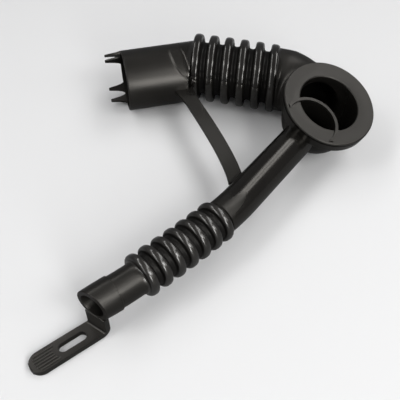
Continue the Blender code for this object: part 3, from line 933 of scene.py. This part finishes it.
height = grain * finish["grainHeight"] + patches * finish["patchHeight"] + creases + parting
bumped = place.node("ShaderNodeBump", {"Strength": 1.0, "Distance": 1 * mm, "Height": height})
for name, value in {
    "Base Color": colour,
    "Roughness": rough,
    "Coat Weight": coat,
    "Normal": bumped,
    "Coat Roughness": finish["coatRough"],
    "Specular IOR Level": 0.5,
    "Specular Tint": finish["tint"],
}.items():
    place.feed(shader.inputs[name], value)
# painted shade: a dull, barely shiny shader mixed over the glossy rubber in the valleys
paintedShadeBsdf = place.node("ShaderNodeBsdfPrincipled", {
    "Base Color": finish["darkest"],
    "Roughness": finish["paintedShadeRough"],
    "Specular IOR Level": finish["paintedShadeShine"],
})
glossy = Socket(tree, shader.outputs["BSDF"])
shaded = place.node("ShaderNodeMixShader", {"Fac": valleys * finish["paintedValleyShade"], 1: glossy, 2: paintedShadeBsdf})
place.feed(tree.nodes["Material Output"].inputs["Surface"], shaded)
body.data.materials.clear()
body.data.materials.append(rubber)
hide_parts(cadNode)
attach(body, "root")

print("floor and backdrop")
backdrop = {  # darker to the lamps than to the camera, and white where it is far away
    "size": 6,
    "lit": (0.2, 0.2, 0.2, 1),
    "seen": (0.74, 0.74, 0.74, 1),
    "fadeStart": 0.35,
    "fadeEnd": 0.9,
}
bpy.ops.object.select_all(action="DESELECT")
bpy.ops.mesh.primitive_plane_add(size=backdrop["size"], location=(0, 0, 0))
floor = named("floor")
pale = bpy.data.materials.new("paleFloor")
pale.use_nodes = True
tree = pale.node_tree
shader = tree.nodes["Principled BSDF"]
spot = Socket(tree, tree.nodes.new("ShaderNodeTexCoord").outputs["Object"])
cameraRay = Socket(tree, tree.nodes.new("ShaderNodeLightPath").outputs["Is Camera Ray"])
colour = spot.node(
    "ShaderNodeMix", {"Factor": cameraRay, 6: backdrop["lit"], 7: backdrop["seen"]}, 2, data_type="RGBA")
for name, value in {"Base Color": colour, "Roughness": 0.9, "Specular IOR Level": 0.1}.items():
    spot.feed(shader.inputs[name], value)
away = spot.node("ShaderNodeVectorMath", {0: spot}, 1, operation="LENGTH")
farAway = away.node(
    "ShaderNodeMapRange", {0: away, 1: backdrop["fadeStart"], 2: backdrop["fadeEnd"]},
    interpolation_type="SMOOTHSTEP")
white = spot.node("ShaderNodeEmission", {"Color": (1, 1, 1, 1), "Strength": 1.0})
lit = Socket(tree, shader.outputs["BSDF"])
faded = spot.node("ShaderNodeMixShader", {"Fac": farAway * cameraRay, 1: lit, 2: white})
spot.feed(tree.nodes["Material Output"].inputs["Surface"], faded)
floor.data.materials.append(pale)

world = bpy.data.worlds.new("studio")
bpy.context.scene.world = world
world.use_nodes = True
tree = world.node_tree
cameraRay = Socket(tree, tree.nodes.new("ShaderNodeLightPath").outputs["Is Camera Ray"])
sky = cameraRay.node(
    "ShaderNodeMix", {"Factor": cameraRay, 6: (0.14, 0.14, 0.145, 1), 7: (1, 1, 1, 1)}, 2, data_type="RGBA")
cameraRay.feed(tree.nodes["Background"].inputs["Color"], sky)

print("lamps")


def panel(name, begin, end, width, radiance):  # a long lamp between two points, facing the hose
    begin, end = Vector(begin), Vector(end)
    middle = (begin + end) / 2
    lengthways = (end - begin).normalized()
    outwards = (middle - lengthways * middle.dot(lengthways)).normalized()
    bpy.ops.object.light_add(type="AREA", location=middle)
    lamp = named(name)
    lamp.rotation_euler = Matrix((lengthways.cross(outwards), lengthways, outwards)).transposed().to_euler()
    lamp.data.shape = "RECTANGLE"
    lamp.data.size = width
    lamp.data.size_y = (end - begin).length
    lamp.data.energy = radiance * math.pi * width * (end - begin).length
    return lamp


dimmer = 0.93
panel("rightInner", (0.53, -0.95, 1.05), (0.42, 1.02, 1.02), 0.17, 5.0 * dimmer)
panel("rightOuter", (0.85, 0.12, 1.23), (0.69, 0.92, 0.96), 0.17, 5.0 * dimmer)
panel("rightFront", (0.55, -0.95, 0.95), (0.43, -1.33, 0.06), 0.24, 5.0 * dimmer)
panel("cuffLight", (0.53, -1.16, 0.74), (0.50, -1.28, 0.32), 0.42, 9.0 * dimmer)
panel("rightSide", (0.70, -0.86, 0.98), (0.98, -0.52, 1.00), 0.42, 11.0 * dimmer)
panel("rightLow", (0.90, -0.27, 1.10), (1.17, -0.39, 0.56), 0.14, 5.0 * dimmer)
panel("leftOver", (-0.44, 1.09, 1.08), (-0.80, -0.32, 1.22), 0.20, 4.5 * dimmer)
panel("leftSide", (-0.66, -0.36, 1.20), (-1.00, -0.36, 1.00), 0.40, 7.0 * dimmer)
panel("leftFront", (-0.84, -0.58, 1.05), (-0.98, -1.02, 0.06), 0.20, 5.0 * dimmer)

print("camera")
shot = {  # half of the picture's 400 pixels over the distance in pixels, as measured on the photo
    "aim": Vector((-12.26, -5.9, 0)) * mm,
    "away": Vector((0, -261.4, 290.3)) * mm,
    "height": 48.0,
    "sensor": 36,
    "halfPixels": 200,
    "pixelsAway": 620,
    "nearest": 10 * mm,
}
bpy.ops.object.camera_add(location=shot["aim"] + shot["away"])
camera = named("camera")
camera.rotation_euler = (math.radians(90 - shot["height"]), 0, 0)
camera.data.sensor_width = shot["sensor"]
camera.data.lens = shot["sensor"] / 2 / (shot["halfPixels"] / shot["pixelsAway"])
camera.data.clip_start = shot["nearest"]
bpy.context.scene.camera = camera
bpy.context.scene.view_settings.view_transform = "Standard"

print("done")
